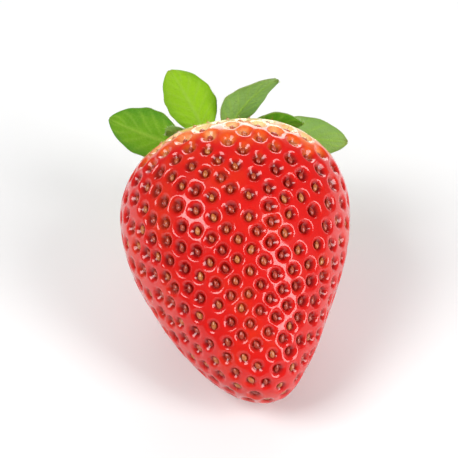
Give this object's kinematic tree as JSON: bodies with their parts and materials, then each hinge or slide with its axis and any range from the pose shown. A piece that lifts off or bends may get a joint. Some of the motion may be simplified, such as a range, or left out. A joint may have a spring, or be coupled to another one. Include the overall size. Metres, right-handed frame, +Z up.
{
  "type": "strawberry",
  "caption": "Whole ripe strawberry with its leafy green calyx, lying on its side on a small flat spot.",
  "frame": {"origin": "centre of the small flat spot that the fruit rests on", "axes": "+Z up from the surface, +Y from the tip towards the calyx, +X to the right when seen from the tip"},
  "size_m": [0.0386, 0.0548, 0.035],
  "materials": {
    "red_flesh": "glossy red flesh with a pale shoulder, dimpled, with sunken seeds",
    "calyx_green": "matt yellow-green plant tissue",
    "sepal_green": "soft mid-green leaf with fine veins and hairs",
    "bract_green": "soft pale green leaf with fine veins and hairs"
  },
  "bodies": {
    "root": {"fruit": "red_flesh", "calyx_disc": "calyx_green", "sepal_1": "sepal_green", "sepal_2": "sepal_green", "sepal_3": "sepal_green", "sepal_4": "sepal_green", "sepal_5": "sepal_green", "bract_1": "bract_green", "bract_2": "bract_green", "bract_3": "bract_green", "bract_4": "bract_green", "bract_5": "bract_green"}
  },
  "joints": []
}
